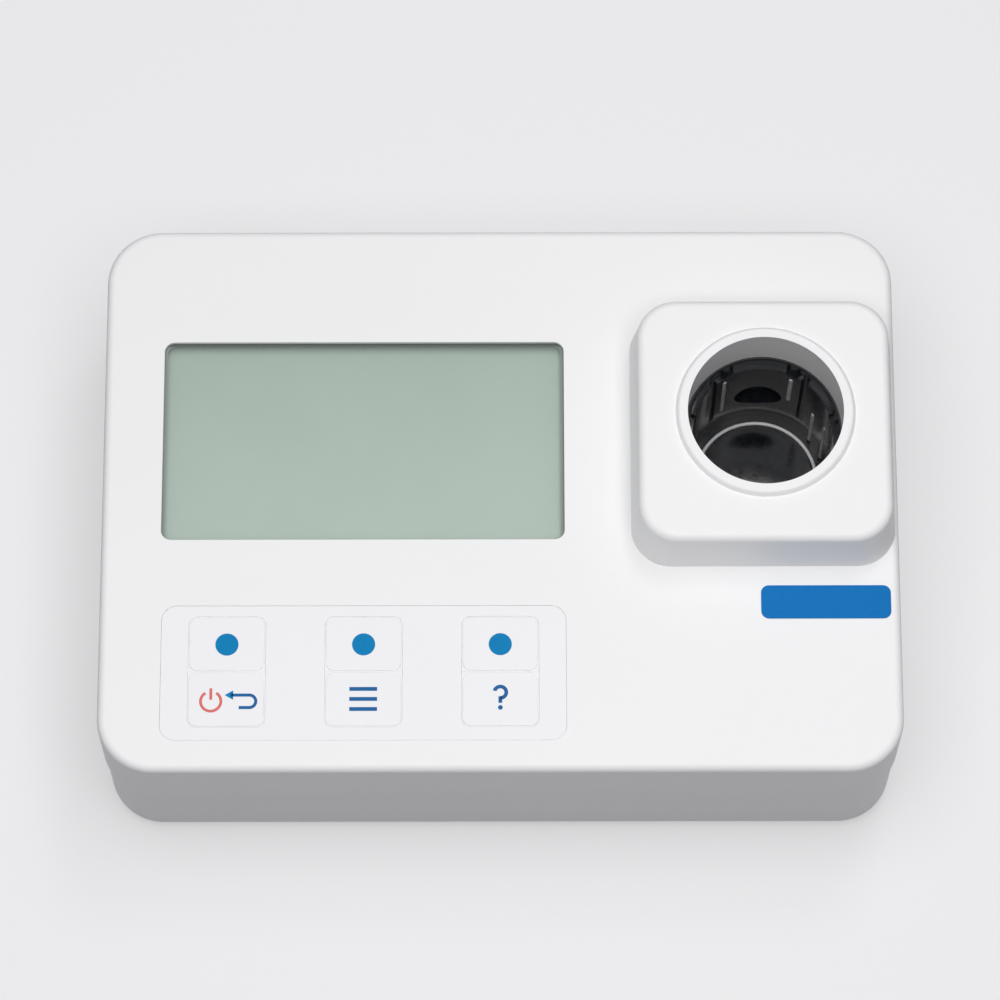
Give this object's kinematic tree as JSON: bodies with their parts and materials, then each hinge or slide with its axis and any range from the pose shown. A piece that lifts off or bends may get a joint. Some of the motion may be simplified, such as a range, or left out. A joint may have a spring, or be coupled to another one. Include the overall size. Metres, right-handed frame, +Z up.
{
  "type": "portable photometer",
  "caption": "Hand-held photometer with a display, keys, a raised block with a round well for a sample cell, and a round screw cover over its battery bay.",
  "frame": {"origin": "on the surface that the feet stand on, under the middle of the casing", "axes": "+X to the right and +Y to the back for someone reading the display, +Z up"},
  "size_m": [0.1424, 0.1024, 0.0505],
  "materials": {
    "casing_white": "satin moulded plastic",
    "panel_white": "fine matt film",
    "key_white": "soft matt plastic",
    "holder_black": "polished black plastic",
    "optics_black": "matt black plastic",
    "seal_rubber": "soft rubber",
    "foot_rubber": "dark grey rubber",
    "mat_rubber": "grey silicone rubber",
    "screw_steel": "plated steel",
    "pane_clear": "clear pane",
    "lcd_green": "grey-green display glass",
    "frame_white": "white plastic",
    "guide_clear": "milky acrylic",
    "strip_rubber": "layered conductive rubber",
    "board_green": "lacquered board",
    "chip_black": "moulded package",
    "switch_black": "moulded switch",
    "buzzer_black": "moulded case",
    "optical_glass": "polished glass",
    "filter_glass": "coated glass",
    "lamp_clear": "clear epoxy",
    "can_metal": "plated can",
    "cell_jacket": "printed jacket, bare",
    "contact_metal": "nickel plate"
  },
  "bodies": {
    "casing": {"top_housing": "casing_white", "well_block": "casing_white", "bottom_housing": "casing_white", "casing_seals": "seal_rubber", "housing_screws": "screw_steel", "rubber_feet": "foot_rubber", "display_gasket": "seal_rubber", "display_window": "pane_clear", "lcd_frame": "frame_white", "lcd_panel": "lcd_green", "light_guide": "guide_clear", "contact_strips": "strip_rubber", "key_panel": "panel_white", "keypad_mat": "mat_rubber", "key_switches": "switch_black", "main_board": "board_green", "board_chips": "chip_black", "buzzer": "buzzer_black", "cuvette_holder": "holder_black", "holder_windows": "optical_glass", "optics_housing": "optics_black", "lamp_led": "lamp_clear", "lamp_board": "board_green", "collimating_lens": "optical_glass", "interference_filter": "filter_glass", "beam_splitter": "optical_glass", "focusing_lens": "optical_glass", "reference_detector": "can_metal", "detector_housing": "optics_black", "signal_detector": "can_metal", "detector_board": "board_green", "contact_plates": "contact_metal", "contact_springs": "contact_metal", "battery_1": "cell_jacket", "battery_2": "cell_jacket", "battery_3": "cell_jacket"},
    "soft_key_left": {"soft_key_left": "key_white"},
    "soft_key_middle": {"soft_key_middle": "key_white"},
    "soft_key_right": {"soft_key_right": "key_white"},
    "power_key": {"power_key": "key_white"},
    "menu_key": {"menu_key": "key_white"},
    "help_key": {"help_key": "key_white"},
    "cover_ring": {"cover_seal": "seal_rubber"},
    "cover": {"battery_cover": "casing_white"}
  },
  "joints": [
    {"name": "soft_key_left_press", "type": "slide", "parent": "casing", "child": "soft_key_left", "axis": [0, 0, -1], "range_m": [0, 0.0005], "stiffness_N_per_m": 400},
    {"name": "soft_key_middle_press", "type": "slide", "parent": "casing", "child": "soft_key_middle", "axis": [0, 0, -1], "range_m": [0, 0.0005], "stiffness_N_per_m": 400},
    {"name": "soft_key_right_press", "type": "slide", "parent": "casing", "child": "soft_key_right", "axis": [0, 0, -1], "range_m": [0, 0.0005], "stiffness_N_per_m": 400},
    {"name": "power_key_press", "type": "slide", "parent": "casing", "child": "power_key", "axis": [0, 0, -1], "range_m": [0, 0.0005], "stiffness_N_per_m": 400},
    {"name": "menu_key_press", "type": "slide", "parent": "casing", "child": "menu_key", "axis": [0, 0, -1], "range_m": [0, 0.0005], "stiffness_N_per_m": 400},
    {"name": "help_key_press", "type": "slide", "parent": "casing", "child": "help_key", "axis": [0, 0, -1], "range_m": [0, 0.0005], "stiffness_N_per_m": 400},
    {"name": "cover_lift", "type": "slide", "parent": "casing", "child": "cover_ring", "axis": [0, 0, -1], "range_m": [0, 0.006]},
    {"name": "cover_turn", "type": "hinge", "parent": "cover_ring", "child": "cover", "pos_m": [-0.018, 0, 0.0044], "axis": [0, 0, -1], "range_deg": [0, 540]}
  ],
  "couplings": [
    {"joint": "cover_lift", "follows": "cover_turn", "m_per_rad": 0.0006366}
  ]
}
